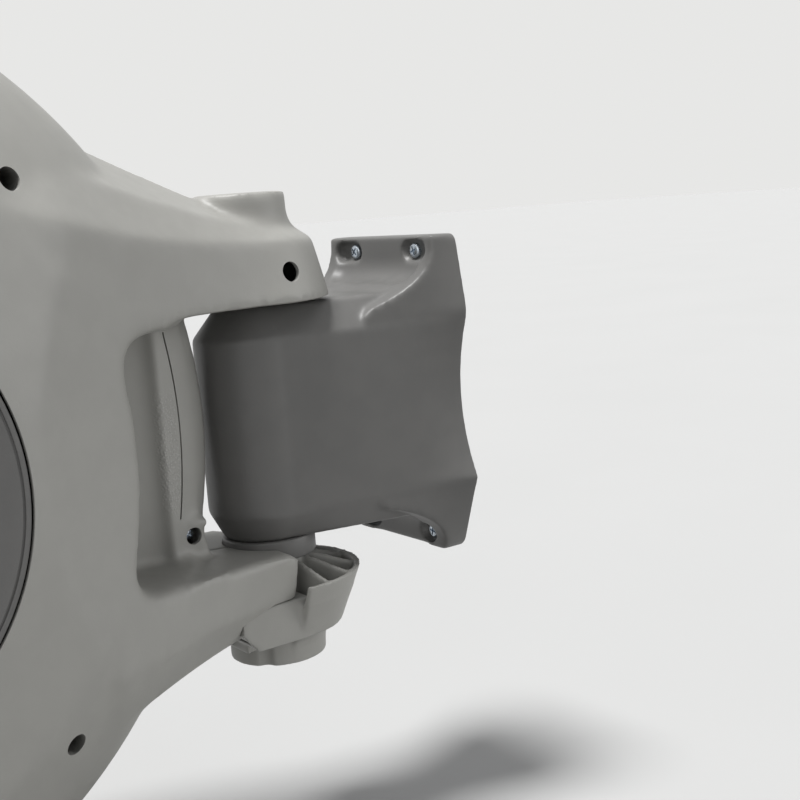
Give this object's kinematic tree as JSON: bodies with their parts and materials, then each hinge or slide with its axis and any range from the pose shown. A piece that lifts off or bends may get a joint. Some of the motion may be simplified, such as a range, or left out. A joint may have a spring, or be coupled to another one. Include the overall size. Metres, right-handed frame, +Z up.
{
  "type": "wall mounted hose reel",
  "caption": "Wall mounted hose reel: a round casing with a sprung drum, level wind and roller outlet that swings on a moulded wall bracket.",
  "frame": {"origin": "centre of the four wall holes, on the wall plane", "axes": "+Y into the wall, +Z up, +X to the right for someone who faces the wall"},
  "size_m": [0.2464, 0.648, 0.48],
  "materials": {
    "casing_grey": "fine grained moulding",
    "bracket_grey": "fine grained moulding",
    "cover_grey": "fine grained moulding",
    "steel": "bright zinc",
    "black_plastic": "satin",
    "white_plastic": "satin",
    "rubber": "matt"
  },
  "bodies": {
    "bracket": {"wall_bracket": "bracket_grey", "upper_bush": "black_plastic", "lower_bush": "bracket_grey"},
    "reel": {"casing_right": "casing_grey", "casing_left": "casing_grey", "side_cover_right": "cover_grey", "side_cover_left": "cover_grey", "pivot_pin": "steel", "pivot_block": "casing_grey", "casing_screws": "steel", "block_screws": "steel", "axle": "steel", "axle_clips": "steel", "spring_arbor": "black_plastic", "inlet_elbow": "cover_grey", "inlet_nipple": "cover_grey", "inlet_seal": "rubber", "outlet_frame": "cover_grey", "roller_pins": "steel", "guide_rod": "steel", "idler_pin": "steel", "pawl_pin": "steel", "pawl_spring": "steel"},
    "drum": {"drum_core": "black_plastic", "drum_flange_right": "black_plastic", "drum_flange_left": "black_plastic", "bearing_right": "white_plastic", "bearing_left": "white_plastic", "spring_cover": "black_plastic", "mainspring": "steel", "ratchet_wheel": "white_plastic", "drive_gear": "white_plastic", "swivel_hub": "white_plastic", "swivel_seals": "rubber", "hose_tail": "white_plastic", "drum_screws": "steel"},
    "idler": {"idler_gear": "white_plastic"},
    "level_screw": {"traverse_screw": "steel", "screw_gear": "white_plastic"},
    "guide": {"hose_guide": "black_plastic"},
    "pawl": {"pawl": "steel"},
    "roller_top": {"outlet_roller_top": "black_plastic"},
    "roller_bottom": {"outlet_roller_bottom": "black_plastic"},
    "roller_right": {"outlet_roller_right": "black_plastic"},
    "roller_left": {"outlet_roller_left": "black_plastic"}
  },
  "joints": [
    {"name": "reel_swing", "type": "hinge", "parent": "bracket", "child": "reel", "pos_m": [0, -0.107, 0], "axis": [0, 0, 1], "range_deg": [-80, 80]},
    {"name": "drum_spin", "type": "hinge", "parent": "reel", "child": "drum", "pos_m": [0, -0.389, 0.005], "axis": [1, 0, 0], "range_deg": [-1080, 1080], "stiffness_Nm_per_rad": 0.05},
    {"name": "idler_spin", "type": "hinge", "parent": "reel", "child": "idler", "pos_m": [0, -0.49733, -0.0141], "axis": [1, 0, 0], "range_deg": [-1300, 1300]},
    {"name": "screw_spin", "type": "hinge", "parent": "reel", "child": "level_screw", "pos_m": [0, -0.57217, -0.0273], "axis": [1, 0, 0], "range_deg": [-2500, 2500]},
    {"name": "guide_slide", "type": "slide", "parent": "reel", "child": "guide", "axis": [1, 0, 0], "range_m": [-0.0512, 0.0512]},
    {"name": "pawl_swing", "type": "hinge", "parent": "reel", "child": "pawl", "pos_m": [0, -0.389, 0.121], "axis": [1, 0, 0], "range_deg": [-22, 0], "stiffness_Nm_per_rad": 0.05, "springref_deg": 11.46},
    {"name": "roller_top_spin", "type": "hinge", "parent": "reel", "child": "roller_top", "pos_m": [0, -0.6365, -0.0353], "axis": [1, 0, 0], "continuous": true},
    {"name": "roller_bottom_spin", "type": "hinge", "parent": "reel", "child": "roller_bottom", "pos_m": [0, -0.6365, -0.0653], "axis": [1, 0, 0], "continuous": true},
    {"name": "roller_right_spin", "type": "hinge", "parent": "reel", "child": "roller_right", "pos_m": [0.015, -0.6245, -0.0503], "axis": [0, 0, 1], "continuous": true},
    {"name": "roller_left_spin", "type": "hinge", "parent": "reel", "child": "roller_left", "pos_m": [-0.015, -0.6245, -0.0503], "axis": [0, 0, 1], "continuous": true}
  ],
  "couplings": [
    {"joint": "idler_spin", "follows": "drum_spin", "ratio": -1.2},
    {"joint": "screw_spin", "follows": "drum_spin", "ratio": 2.3077},
    {"joint": "guide_slide", "follows": "drum_spin", "m_per_rad": 0.0027056}
  ]
}
